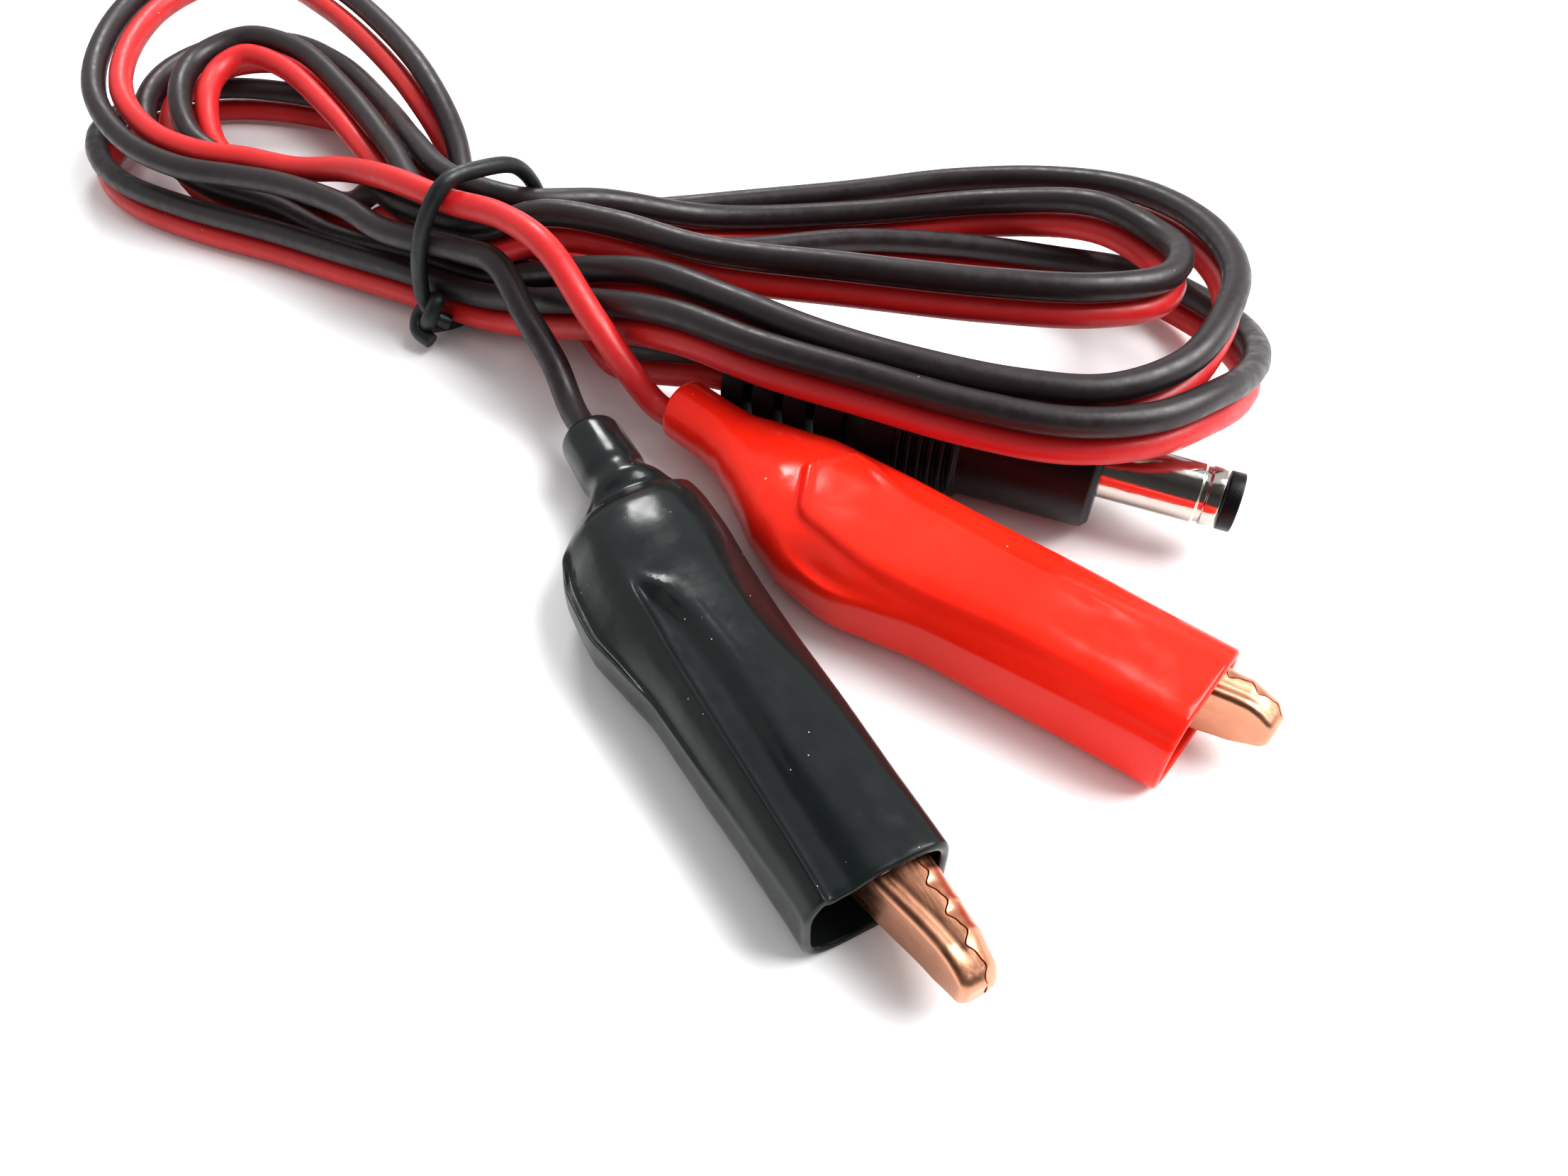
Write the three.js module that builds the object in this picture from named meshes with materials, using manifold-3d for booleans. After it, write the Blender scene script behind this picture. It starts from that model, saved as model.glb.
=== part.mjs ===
// A DC test lead: a coaxial barrel plug on a two-core cable, tied in a hank, that splits into two
// crocodile clips in soft boots. Millimetres, +Z up. The lead lies on the plane z = 0, and the origin is
// under the middle of the plug and the two clips.
import * as THREE from "three";
import { mergeVertices } from "three/addons/utils/BufferGeometryUtils.js";
import Module from "manifold-3d";

const wasm = await Module();
wasm.setup();

// ---- Driving dimensions ----
const GAP = 0.3; // between two pieces that touch on the real lead
const DEG = Math.PI / 180;

// From the table's own reference corner, where the routes below are measured, to the origin.
const TABLE_TO_ORIGIN = new THREE.Vector3(-9.56, -60.32, 0);

// Cable: two bonded cores, one above the other where the pair stands on edge.
const CORE_DIAMETER = 2.7;
const CORE_PITCH = 3.0;
const STRAND_DIAMETER = 1.7; // the bare copper strands inside a core

// Plug, measured along its axis from the cable's end to the tip.
const PLUG = {
  axisHeight: 6.4,
  cableEnd: [-4.5, 89.3],
  yaw: -22.4,
  reliefLength: 13,
  bodyFront: 36.6,
  tip: 48.6,
  barrelDiameter: 5.5,
  pinBore: 2.1,
  bodyRadius: 5.8,
  collarRadius: 6.1,
  ribRadius: 6.4,
  ribs: 6,
  ribPitch: 1.05,
};

// Clips, measured along a clip from the boot's cable end (u), across it (v) and up (w).
const CLIPS = {
  black: { cuff: [-19.6, 82.9], yaw: -61.9, jawShift: [0, 0], boot: 0x1d2223 },
  red: { cuff: [-10.6, 84.1], yaw: -39.4, jawShift: [-3.6, 0.2], boot: 0xf03a22 },
};
const BOOT_HEIGHT = 4.9; // of a clip's middle plane above the table
const BOOT_LENGTH = 55.5;
const BOOT_WALL = 0.9;
const JAW_WIDTH = 5.6; // along the pivot pin
const INNER_WIDTH = 4.0; // the moving jaw's ears, which stand between the fixed jaw's ears
const SHEET = 0.5;
const WEB = 0.65;
const SEAM = 2.6; // v of the line where the closed jaws meet
const NOSE = 64.5;
const TOOTH_PITCH = 2.6;
const TOOTH_HEIGHT = 1.0;
const FIRST_TOOTH = 50;
const PIVOT = [42, 0.6];
const PIN_RADIUS = 0.9;
const PIN_HEAD_RADIUS = 1.6;
const CRIMP = { from: 10.6, to: 16.4, radius: 1.75, bore: 1.15 };

// ---- Materials ----
const material = (color, roughness, metalness) =>
  new THREE.MeshStandardMaterial({ color, roughness, metalness });
const copper = material(0xd9a07c, 0.32, 1);
const steel = material(0xb9bcc0, 0.35, 1);
const nickel = material(0xd8d6d2, 0.12, 1);
const brass = material(0xc9a55a, 0.3, 1);
const strands = material(0xb87342, 0.4, 1);
const blackCore = material(0x4b4042, 0.5, 0);
const redCore = material(0xd6262a, 0.45, 0);
const blackPlastic = material(0x17191b, 0.5, 0);
const nylon = material(0xe6e2d6, 0.5, 0);
const tieBlack = material(0x161b1d, 0.35, 0);

// ---- Solids ----
// A closed geometry as a solid that can be joined and cut.
function solid(geometry) {
  const bare = geometry.clone();
  bare.deleteAttribute("normal");
  bare.deleteAttribute("uv");
  const merged = mergeVertices(bare, 1e-4);
  return new wasm.Manifold(
    new wasm.Mesh({
      numProp: 3,
      vertProperties: merged.attributes.position.array,
      triVerts: new Uint32Array(merged.index.array),
    }),
  );
}

function geometryOf(body) {
  const mesh = body.getMesh();
  const geometry = new THREE.BufferGeometry();
  geometry.setAttribute("position", new THREE.BufferAttribute(mesh.vertProperties, 3));
  geometry.setIndex(new THREE.BufferAttribute(mesh.triVerts, 1));
  return geometry;
}

// A side outline in u and v, as thick as `width` along w and centred on the clip's middle plane.
function plate(outline, width) {
  const shape = new THREE.Shape(outline.map(([u, v]) => new THREE.Vector2(u, v)));
  const geometry = new THREE.ExtrudeGeometry(shape, { depth: width, bevelEnabled: false });
  return solid(geometry.translate(0, 0, -width / 2));
}

// A round bar along w.
function disc([u, v], radius, width, sides = 24) {
  const geometry = new THREE.CylinderGeometry(radius, radius, width, sides);
  return solid(geometry.rotateX(Math.PI / 2).translate(u, v, 0));
}

// A body of revolution along u, from a profile of [u, radius] points.
function turned(profile, sides = 32) {
  const points = profile.map(([u, radius]) => new THREE.Vector2(radius, u));
  return new THREE.LatheGeometry(points, sides).rotateZ(-Math.PI / 2);
}

function tube(curve, radius, steps, sides = 8) {
  const section = new THREE.Shape().absarc(0, 0, radius, 0, 2 * Math.PI, false);
  return new THREE.ExtrudeGeometry(section, {
    steps,
    curveSegments: sides / 2,
    bevelEnabled: false,
    extrudePath: curve,
  });
}

const spline = (points) =>
  new THREE.CatmullRomCurve3(points.map((p) => new THREE.Vector3(...p)), false, "centripetal");

function piece(name, geometry, look) {
  const mesh = new THREE.Mesh(geometry, look);
  mesh.name = name;
  return mesh;
}

// ---- Boot ----
// The soft sleeve's sections, from the cuff that grips the wire to the mouth that the jaws stand out of:
// place along the clip, half width, half height, squareness (2 is round), shift across, shift up, wall.
const BOOT_SECTIONS = [
  [0, 3.1, 3.1, 2, 0, 0, 1.4],
  [5.2, 3.1, 3.1, 2, 0, 0, 1.0],
  [6.6, 2.95, 3.0, 2, 0, 0, BOOT_WALL],
  [9.6, 3.1, 3.3, 2.1, -0.1, 0, BOOT_WALL],
  [12.6, 4.6, 4.2, 2.3, -0.6, 0, BOOT_WALL],
  [16, 6.6, 4.8, 2.5, -1.1, 0, BOOT_WALL],
  [20.5, 7.7, 5.1, 2.8, -1.5, 0, BOOT_WALL],
  [27, 7.7, 5.15, 3.1, -1.7, 0, BOOT_WALL],
  [34, 7.3, 5.15, 3.4, -1.3, 0, BOOT_WALL],
  [41, 6.7, 5.1, 3.8, -0.9, 0, BOOT_WALL],
  [48, 6.2, 4.85, 4.5, -0.4, -0.15, BOOT_WALL],
  [BOOT_LENGTH, 5.8, 4.5, 6, 0, -0.3, 0.8],
];

function bootGeometry(sides = 28) {
  const outside = BOOT_SECTIONS.map(([u]) => new THREE.Vector2(2, u));
  const inside = BOOT_SECTIONS.map(([u]) => new THREE.Vector2(1, u)).reverse();
  const sleeve = new THREE.LatheGeometry([...outside, ...inside, outside[0]], sides);
  const position = sleeve.attributes.position;
  for (let i = 0; i < position.count; i += 1) {
    const across = position.getX(i);
    const along = position.getY(i);
    const up = position.getZ(i);
    const [, halfWidth, halfHeight, power, shiftV, shiftW, wall] = BOOT_SECTIONS.find(
      ([u]) => Math.abs(u - along) < 1e-3,
    );
    const radius = Math.hypot(across, up);
    const thinner = radius > 1.5 ? 0 : wall;
    const round = (part, half) =>
      Math.sign(part) * Math.abs(part / radius) ** (2 / power) * (half - thinner);
    const v = shiftV - round(across, halfWidth);
    const w = shiftW + round(up, halfHeight);
    position.setXYZ(i, along, v, Math.max(w, thinner - BOOT_HEIGHT));
  }
  return sleeve;
}

// ---- Jaws ----
// The toothed edge of a jaw, from the back to the nose, `side` above (+1) or below (-1) the seam.
function teeth(side) {
  const edge = [];
  const last = Math.floor((NOSE - 1.4 - FIRST_TOOTH) / (TOOTH_PITCH / 2));
  for (let i = 0; i <= last; i += 1) {
    const swing = i % 2 ? 0.5 : -0.5;
    edge.push([FIRST_TOOTH + (i * TOOTH_PITCH) / 2, SEAM + swing * TOOTH_HEIGHT + (side * GAP) / 2]);
  }
  return edge;
}

// The jaw that is one piece with the crimp: a channel with two ears, a strap back to the wire, a crimp.
function fixedJaw() {
  const back = 4.3; // v of the web's outer face
  const channel = plate(
    [
      [37.6, back],
      [37.6, 2.8],
      [48.6, SEAM + 0.2],
      ...teeth(1),
      [NOSE, SEAM + GAP / 2],
      [NOSE + 0.2, 3.2],
      [NOSE - 0.4, 3.8],
      [NOSE - 1.9, 4.2],
      [60.5, back],
    ],
    JAW_WIDTH,
  ).add(disc(PIVOT, 3.6, JAW_WIDTH));
  const pocket = plate(
    [
      [30, -4],
      [NOSE - 1, -4],
      [NOSE - 1, 3.3],
      [61.6, back - WEB],
      [30, back - WEB],
    ],
    JAW_WIDTH - 2 * SHEET,
  );
  const strap = plate(
    [
      [38.4, back],
      [22.4, back],
      [19.8, 3.1],
      [18.0, 1.7],
      [17.4, 1.7],
      [17.4, 1.15],
      [18.2, 1.15],
      [20.4, 2.6],
      [22.8, back - WEB],
      [38.4, back - WEB],
    ],
    JAW_WIDTH - 2 * SHEET,
  );
  // A narrow tongue joins the strap to the crimp's wall.
  const tongue = plate([[17.8, 1.6], [15.8, 1.6], [15.8, 1.25], [17.8, 1.25]], 1.2);
  const { from, to, radius, bore } = CRIMP;
  const crimp = solid(
    turned([[from, bore], [from, radius], [to, radius], [to, bore], [from, bore]], 20),
  );
  return channel
    .subtract(pocket)
    .add(strap)
    .add(tongue)
    .add(crimp)
    .subtract(disc(PIVOT, PIN_RADIUS + GAP, JAW_WIDTH + 1, 20));
}

// The jaw that swings: its own ears stand between the fixed jaw's ears, and its lever fills the bulge
// of the boot.
function movingJaw() {
  const front = plate(
    [
      [46.6, -2.4],
      [55.5, -0.4],
      [NOSE - 2.4, 1.3],
      [NOSE - 0.9, 1.75],
      [NOSE - 0.2, SEAM - GAP / 2],
      ...teeth(-1).reverse(),
      [46.9, 1.6],
    ],
    JAW_WIDTH,
  );
  const frontPocket = plate(
    [
      [46, -1.8],
      [55.5, WEB - 0.38],
      [NOSE - 2.6, 1.95],
      [NOSE - 1.6, 5],
      [46, 5],
    ],
    JAW_WIDTH - 2 * SHEET,
  );
  const rear = plate(
    [
      [24, -7.1],
      [50, -1.6],
      [50, 1.0],
      [45, 1.2],
      [39, 0.4],
      [35, -2.9],
      [24, -5.5],
    ],
    INNER_WIDTH,
  ).add(disc(PIVOT, 2.7, INNER_WIDTH));
  const rearPocket = plate(
    [
      [20, -6.25],
      [24, -6.4],
      [52, -0.5],
      [52, 5],
      [20, 5],
    ],
    INNER_WIDTH - 2 * SHEET,
  );
  return front
    .subtract(frontPocket)
    .add(rear.subtract(rearPocket))
    .subtract(disc(PIVOT, PIN_RADIUS + GAP, JAW_WIDTH + 1, 20));
}

function pivotPin() {
  const shank = JAW_WIDTH / 2 + 0.25;
  const head = shank + 0.5;
  const [u, v] = PIVOT;
  const profile = [
    [-head, 0],
    [-head, PIN_HEAD_RADIUS - 0.3],
    [-head + 0.25, PIN_HEAD_RADIUS],
    [-shank, PIN_HEAD_RADIUS],
    [-shank, PIN_RADIUS],
    [shank, PIN_RADIUS],
    [shank, PIN_HEAD_RADIUS],
    [head - 0.25, PIN_HEAD_RADIUS],
    [head, PIN_HEAD_RADIUS - 0.3],
    [head, 0],
  ];
  return turned(profile, 20).rotateY(-Math.PI / 2).translate(u, v, 0);
}

// Two turns round the pin, with one leg on the fixed jaw's web and one on the moving jaw's lever.
function springGeometry() {
  const wire = 0.35;
  const coilRadius = 1.7;
  const turns = 2.5;
  const climb = 0.74;
  const steps = 14 * turns;
  const [u, v] = PIVOT;
  const points = [[u - 11, 3.1, -turns * climb * 0.5]];
  for (let i = 0; i <= steps; i += 1) {
    const angle = 90 * DEG - (i / steps) * turns * 2 * Math.PI;
    const up = (i / steps - 0.5) * turns * climb;
    points.push([u + coilRadius * Math.cos(angle), v + coilRadius * Math.sin(angle), up]);
  }
  points.push([u - 5, -2.0, turns * climb * 0.5]);
  points.push([u - 11, -4.6, turns * climb * 0.5]);
  return tube(spline(points), wire, 46, 6);
}

function clip(name, { cuff, yaw, jawShift, boot }) {
  const group = new THREE.Group();
  group.position.set(cuff[0], cuff[1], BOOT_HEIGHT);
  group.rotation.z = yaw * DEG;
  const strandsFrom = 9.4;
  const strandsLength = CRIMP.to - strandsFrom;
  const bare = new THREE.CylinderGeometry(STRAND_DIAMETER / 2, STRAND_DIAMETER / 2, strandsLength, 12);
  bare.rotateZ(Math.PI / 2).translate(strandsFrom + strandsLength / 2, 0, 0);
  const bootLook = material(boot, 0.16, 0);
  group.add(piece(`${name}_boot`, bootGeometry(), bootLook));
  const inside = new THREE.Group();
  inside.position.set(jawShift[0], jawShift[1], 0);
  inside.add(piece(`${name}_fixed_jaw`, geometryOf(fixedJaw()), copper));
  inside.add(piece(`${name}_moving_jaw`, geometryOf(movingJaw()), copper));
  inside.add(piece(`${name}_pivot_pin`, pivotPin(), steel));
  inside.add(piece(`${name}_spring`, springGeometry(), steel));
  inside.add(piece(`${name}_conductor_strands`, bare, strands));
  group.add(inside);
  return group;
}

// ---- Plug ----
function plug() {
  const group = new THREE.Group();
  const { cableEnd, axisHeight, yaw, reliefLength, bodyFront, tip } = PLUG;
  group.position.set(cableEnd[0], cableEnd[1], axisHeight);
  group.rotation.z = yaw * DEG;

  // Strain relief: four collars on a thin core, so that it bends.
  const collars = 4;
  const notch = 0.9;
  const collarPitch = reliefLength / collars;
  const relief = [[0, 0]];
  for (let i = 0; i < collars; i += 1) {
    const start = i * collarPitch;
    const end = start + collarPitch - (i === collars - 1 ? GAP : notch);
    const radius = 4.5 + 0.12 * i;
    relief.push([start, radius - 0.3], [start + 0.3, radius], [end - 0.3, radius], [end, radius - 0.3]);
    if (i < collars - 1) relief.push([end, 2.9], [start + collarPitch, 2.9]);
  }
  relief.push([reliefLength - GAP, 0]);
  group.add(piece("plug_strain_relief", turned(relief, 28), blackPlastic));

  // Body: chamfer, collar, grip ribs and a plain front with a rounded edge, bored for the barrel.
  const { bodyRadius, collarRadius, ribRadius, ribs, ribPitch, barrelDiameter, pinBore } = PLUG;
  const ribStart = reliefLength + 5;
  const bore = barrelDiameter / 2 + GAP;
  const body = [
    [reliefLength, 0],
    [reliefLength, 4.7],
    [reliefLength + 2, collarRadius],
    [ribStart - 0.4, collarRadius],
  ];
  for (let i = 0; i < ribs; i += 1) {
    const start = ribStart + i * ribPitch;
    body.push([start, ribRadius - 0.5], [start + 0.25, ribRadius]);
    body.push([start + 0.6, ribRadius], [start + 0.85, ribRadius - 0.5]);
  }
  body.push([ribStart + ribs * ribPitch + 0.4, bodyRadius + 0.1]);
  body.push([bodyFront - 0.7, bodyRadius]);
  body.push([bodyFront - 0.2, bodyRadius - 0.25]);
  body.push([bodyFront, bodyRadius - 0.8]);
  body.push([bodyFront, bore]);
  body.push([24, bore]);
  body.push([24, 2.6]);
  body.push([15, 2.6]);
  body.push([15, 0]);
  group.add(piece("plug_body", turned(body, 36), blackPlastic));

  // Contacts and insulators, one inside the other.
  const outer = barrelDiameter / 2;
  const ring = (from, to, inside, outside, sides) =>
    turned([[from, inside], [from, outside], [to, outside], [to, inside], [from, inside]], sides);
  const tipRing = 1.3;
  const barrelEnd = tip - tipRing - GAP;
  const groove = tip - 3.4;
  const barrel = [
    [25.5, 2.3],
    [25.5, outer],
    [groove, outer],
    [groove + 0.15, outer - 0.15],
    [groove + 0.45, outer - 0.15],
    [groove + 0.6, outer],
    [barrelEnd, outer],
    [barrelEnd, 2.3],
    [25.5, 2.3],
  ];
  group.add(piece("plug_barrel", turned(barrel, 32), nickel));
  group.add(piece("plug_tip_insulator", ring(tip - tipRing, tip, 1.35, outer - 0.05, 32), blackPlastic));
  group.add(piece("plug_inner_insulator", ring(26, barrelEnd, 1.65, 2.0, 20), nylon));
  group.add(piece("plug_centre_contact", ring(26, barrelEnd, pinBore / 2, 1.35, 20), brass));

  const tag = (length, across) =>
    new THREE.BoxGeometry(length, 0.5, 1.6).translate(25.4 - GAP - length / 2, across, 0);
  group.add(piece("plug_sleeve_terminal", tag(7.6, 1.9), brass));
  group.add(piece("plug_tip_terminal", tag(9, 0), brass));
  return group;
}

// ---- Cable ----
// The middle line of the bonded pair, from the plug's strain relief, through the hank, to where the cores
// part. The fourth number is how far the black core leans from straight above the red one, in degrees
// towards the left of the way the line runs.
const PAIR_ROUTE = [
  // out of the plug, down to the table and under the front strands to the tie
  [-5.2, 89.6, 6.4, 0],
  [-8.0, 90.7, 6.2, 0],
  [-12.2, 92.6, 4.9, 0],
  [-18, 96.2, 3.1, 0],
  [-22.5, 103.0, 3.1, 0],
  [-30.3, 107.9, 4.4, 0],
  // left, the low flat loop
  [-39.1, 112.5, 4.4, 0],
  [-42.6, 120.6, 3.2, 0],
  [-46, 133, 3.1, 0],
  [-55.5, 144.5, 3.1, 0],
  [-66.5, 149.8, 3.1, 0],
  [-78, 150.8, 3.1, 0],
  [-85.5, 146.5, 3.1, 0],
  [-88.3, 140.3, 3.1, 0],
  [-86.3, 133.6, 3.1, 0],
  [-80.8, 127.2, 3.1, 0],
  [-71.5, 121.8, 3.1, 0],
  [-60, 116.8, 3.2, 0],
  [-50.2, 111.6, 3.7, 0],
  [-41.9, 107.0, 4.4, 0],
  // right, the longest loop, over the plug and back along the table
  [-33.1, 102.4, 4.6, 0],
  [-26.9, 98.7, 6.4, 0],
  [-18.3, 93.8, 10.2, 0],
  [-10, 88.0, 13.2, 0],
  [-2, 82.9, 14.6, 0],
  [7, 77.6, 14.8, 0],
  [16, 73.6, 14.9, 0],
  [24, 71.2, 15.0, 0],
  [31, 71.8, 14.8, 0],
  [37, 75.4, 13.4, 0],
  [42.3, 81.3, 10.8, 0],
  [45.6, 87.9, 8.2, 0],
  [46.8, 95, 5.6, 0],
  [44.8, 102.6, 3.8, 0],
  [40.0, 108.4, 3.1, 0],
  [31, 111.2, 3.1, 0],
  [20, 113.8, 3.1, 0],
  [8, 114.8, 3.1, 0],
  [-5, 113.0, 3.1, 0],
  [-15, 111.0, 4.9, 0],
  [-22.6, 107.4, 9.2, 0],
  [-30.3, 107.9, 10.4, 0],
  // left, the small inner loop
  [-39.1, 112.5, 10.5, 10],
  [-45.4, 121.4, 10.4, -30],
  [-53.9, 133.5, 11.6, -55],
  [-62, 142.4, 12.8, -65],
  [-68.4, 145.4, 12.8, -70],
  [-72.4, 142.4, 12.0, -70],
  [-72.9, 136.6, 10.8, -65],
  [-70.8, 131.0, 8.0, -50],
  [-65.6, 128.0, 5.6, -30],
  [-58.2, 124.2, 3.7, -10],
  [-50, 118.9, 5.2, 0],
  [-45.2, 115.2, 9.0, 0],
  [-40.5, 109.7, 10.3, 0],
  // right, the short loop
  [-31.7, 105.3, 10.8, 0],
  [-24.6, 104.6, 12.9, 0],
  [-17.2, 101.9, 13.4, 0],
  [-7.5, 96.5, 13.9, 0],
  [6.4, 92.4, 14.7, 0],
  [19.5, 89.4, 15.1, 0],
  [29, 88.6, 15.1, 0],
  [35.6, 90.8, 14.5, 0],
  [38.8, 96.2, 13.3, 0],
  [38.4, 103.4, 11.4, 0],
  [34, 110.2, 10.4, 0],
  [24.5, 117.2, 6.6, 0],
  [8, 119.0, 4.0, 0],
  [-8.8, 117.6, 4.4, 0],
  [-20.4, 113.6, 8.8, 0],
  [-28.5, 111.3, 10.4, 0],
  // left, the middle loop
  [-37.3, 116.0, 10.4, -10],
  [-43.6, 124.2, 10.0, -30],
  [-50.0, 135.4, 8.3, -45],
  [-58.8, 146.8, 8.6, -55],
  [-66.8, 152.6, 8.6, -60],
  [-74.2, 151.8, 8.6, -60],
  [-78.6, 145.2, 8.6, -60],
  [-79.2, 138.2, 7.6, -50],
  [-77.0, 132.6, 5.4, -35],
  [-70.6, 126.6, 3.6, -10],
  [-60.2, 121.4, 3.2, 0],
  [-51.6, 115.0, 3.3, 0],
  [-40.7, 109.4, 4.4, 0],
  // right, the high outer loop
  [-31.7, 105.1, 4.5, 0],
  [-26.0, 101.6, 7.4, 0],
  [-19.8, 97.9, 10.6, 0],
  [-12.8, 94.0, 13.0, 0],
  [-5, 88.4, 14.6, 0],
  [3, 83.0, 15.5, 0],
  [11.5, 78.8, 15.9, 0],
  [20, 76.0, 16.0, 0],
  [27.6, 75.2, 16.0, 0],
  [34.6, 77.8, 15.9, 0],
  [39.6, 84.2, 15.5, 0],
  [42.8, 92.5, 14.6, 0],
  [42.6, 103.1, 12.8, 0],
  [38.6, 113.4, 10.2, 0],
  [31, 120.7, 7.4, 0],
  [20.4, 124.2, 5.2, 0],
  [8, 123.6, 4.0, 0],
  [-8.9, 121.2, 3.7, 0],
  [-18.6, 118.6, 4.0, 0],
  [-28.4, 111.5, 4.3, 0],
  // left, the high outer loop
  [-37.2, 116.1, 4.2, 0],
  [-38.0, 121.4, 5.4, -10],
  [-39.8, 128.2, 8.8, -20],
  [-44.4, 136.2, 12.0, -35],
  [-52.4, 147.6, 13.6, -45],
  [-61, 157.2, 14.6, -50],
  [-69, 163.6, 15.0, -55],
  [-77, 163.0, 15.0, -60],
  [-82.6, 155.6, 14.6, -65],
  [-84.4, 145.4, 13.4, -75],
  [-82.2, 134.8, 12.0, -85],
  [-76.4, 127.2, 10.6, -95],
  [-69.6, 123.2, 10.0, -100],
  [-62.6, 121.2, 10.0, -100],
  [-56.4, 118.6, 10.4, -95],
];
// Where the cores part, each runs alone to its clip.
const BLACK_TAIL = [
  [-48.2, 111.6, 11.0],
  [-42.6, 106.8, 11.0],
  [-33.4, 102.0, 11.8],
  [-29.0, 98.6, 12.4],
  [-25.8, 93.6, 9.9],
  [-22.8, 89.4, 7.2],
];
const RED_TAIL = [
  [-48.6, 116.2, 12.6],
  [-41.4, 110.2, 14.9],
  [-34.2, 105.2, 15.3],
  [-28.0, 101.0, 16.2],
  [-22.8, 95.6, 16.0],
  [-18.6, 90.2, 12.4],
  [-15.0, 87.0, 8.0],
];

// A core's route: every point of the pair's line moved half a pitch up (or down) and over, then the tail.
function coreCurve(side, tail, { cuff, yaw, jawShift }) {
  const middle = spline(PAIR_ROUTE.map(([x, y, z]) => [x, y, z]));
  const points = PAIR_ROUTE.map(([x, y, z, lean], i) => {
    const run = middle.getTangent(i / (PAIR_ROUTE.length - 1));
    const left = new THREE.Vector3(-run.y, run.x, 0).normalize();
    const above = new THREE.Vector3().crossVectors(run, left);
    const offset = above.multiplyScalar(Math.cos(lean * DEG)).addScaledVector(left, Math.sin(lean * DEG));
    const point = new THREE.Vector3(x, y, z).addScaledVector(offset, (side * CORE_PITCH) / 2);
    return point.toArray();
  });
  const cuffEnd = [Math.cos(yaw * DEG), Math.sin(yaw * DEG)];
  const inCuff = (u) => [cuff[0] + u * cuffEnd[0], cuff[1] + u * cuffEnd[1], BOOT_HEIGHT];
  return spline([...points, ...tail, inCuff(-2.5), inCuff(2), inCuff(9.1 + jawShift[0])]);
}

function cable() {
  const group = new THREE.Group();
  const steps = 200;
  const black = coreCurve(1, BLACK_TAIL, CLIPS.black);
  const red = coreCurve(-1, RED_TAIL, CLIPS.red);
  // The same places on both cores, so that the bonded pair keeps its gap.
  for (const curve of [black, red]) curve.getUtoTmapping = (u) => u;
  group.add(piece("black_core", tube(black, CORE_DIAMETER / 2, steps), blackCore));
  group.add(piece("red_core", tube(red, CORE_DIAMETER / 2, steps), redCore));
  return group;
}

// ---- Tie ----
// A round wire tie, bent round the eight strands with its two ends twisted down at the front.
const TIE = {
  middle: [-34.8, 109.2],
  yaw: -32,
  radius: 0.6,
  // along the hank, across it, height
  route: [
    [-3.2, -10.2, 1.6],
    [-2.0, -8.6, 3.0],
    [-1.6, -7.9, 5.6],
    [-1.0, -7.9, 10.5],
    [-0.2, -6.9, 14.2],
    [0.6, -3.6, 17.4],
    [1.4, 1.2, 16.9],
    [2.0, 5.6, 15.2],
    [2.2, 7.6, 11.2],
    [2.0, 7.7, 4.4],
    [1.6, 5.6, 0.9],
    [0.6, 0, 0.9],
    [0.3, -5, 0.95],
    [0.6, -8.4, 1.4],
    [1.4, -10.2, 3.2],
  ],
};

function tie() {
  const group = new THREE.Group();
  group.position.set(TIE.middle[0], TIE.middle[1], 0);
  group.rotation.z = TIE.yaw * DEG;
  group.add(piece("cable_tie", tube(spline(TIE.route), TIE.radius, 40), tieBlack));
  return group;
}

// ---- The lead ----
const lead = new THREE.Group();
lead.position.copy(TABLE_TO_ORIGIN);
for (const [name, values] of Object.entries(CLIPS)) lead.add(clip(name, values));
lead.add(plug(), cable(), tie());

const part = new THREE.Group();
part.add(lead);
export default part;
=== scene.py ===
# %% [markdown]
# # A DC test lead
# The lead is a barrel plug on a red and black bonded cable, tied in a hank, that parts into two crocodile
# clips in soft boots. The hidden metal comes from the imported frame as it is. The soft boots, the cable,
# the tie and the pressed jaws are built here, because their look lives in soft edges.

import math

import bmesh
import bpy
from mathutils import Matrix, Vector


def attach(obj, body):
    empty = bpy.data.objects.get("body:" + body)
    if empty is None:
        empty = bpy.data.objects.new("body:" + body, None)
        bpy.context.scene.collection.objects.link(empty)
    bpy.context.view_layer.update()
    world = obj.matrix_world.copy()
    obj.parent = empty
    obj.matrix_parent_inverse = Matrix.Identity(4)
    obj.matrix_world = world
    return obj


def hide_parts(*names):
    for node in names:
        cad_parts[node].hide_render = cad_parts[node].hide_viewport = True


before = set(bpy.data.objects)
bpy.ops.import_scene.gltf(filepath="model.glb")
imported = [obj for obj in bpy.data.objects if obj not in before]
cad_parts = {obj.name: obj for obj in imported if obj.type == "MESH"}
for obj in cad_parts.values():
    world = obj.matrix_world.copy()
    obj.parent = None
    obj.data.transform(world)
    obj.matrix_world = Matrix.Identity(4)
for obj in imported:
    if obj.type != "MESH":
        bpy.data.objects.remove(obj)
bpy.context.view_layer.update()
MM = 0.001
print("frame nodes:", len(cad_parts))

# %% [markdown]
# The routes are measured from a spot on the table, and the frame's origin is elsewhere, so one offset joins
# the two. Each clip has its cuff, its turn, and how far its metal is pushed along and across in its boot.

# %% Places and sizes, in millimetres
TO_ORIGIN = Vector((-9.56, -60.32, 0))
CORE_DIAMETER = 2.7
CORE_PITCH = 3.0
BOOT_HEIGHT = 4.9
BOOT_LENGTH = 55.5
CRIMP_START = 9.1
CLIPS = {
    "black": {"cuff": (-19.6, 82.9), "yaw": -61.9, "slide": (0.0, 0.0)},
    "red": {"cuff": (-10.6, 84.1), "yaw": -39.4, "slide": (-3.6, 0.2)},
}


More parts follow.
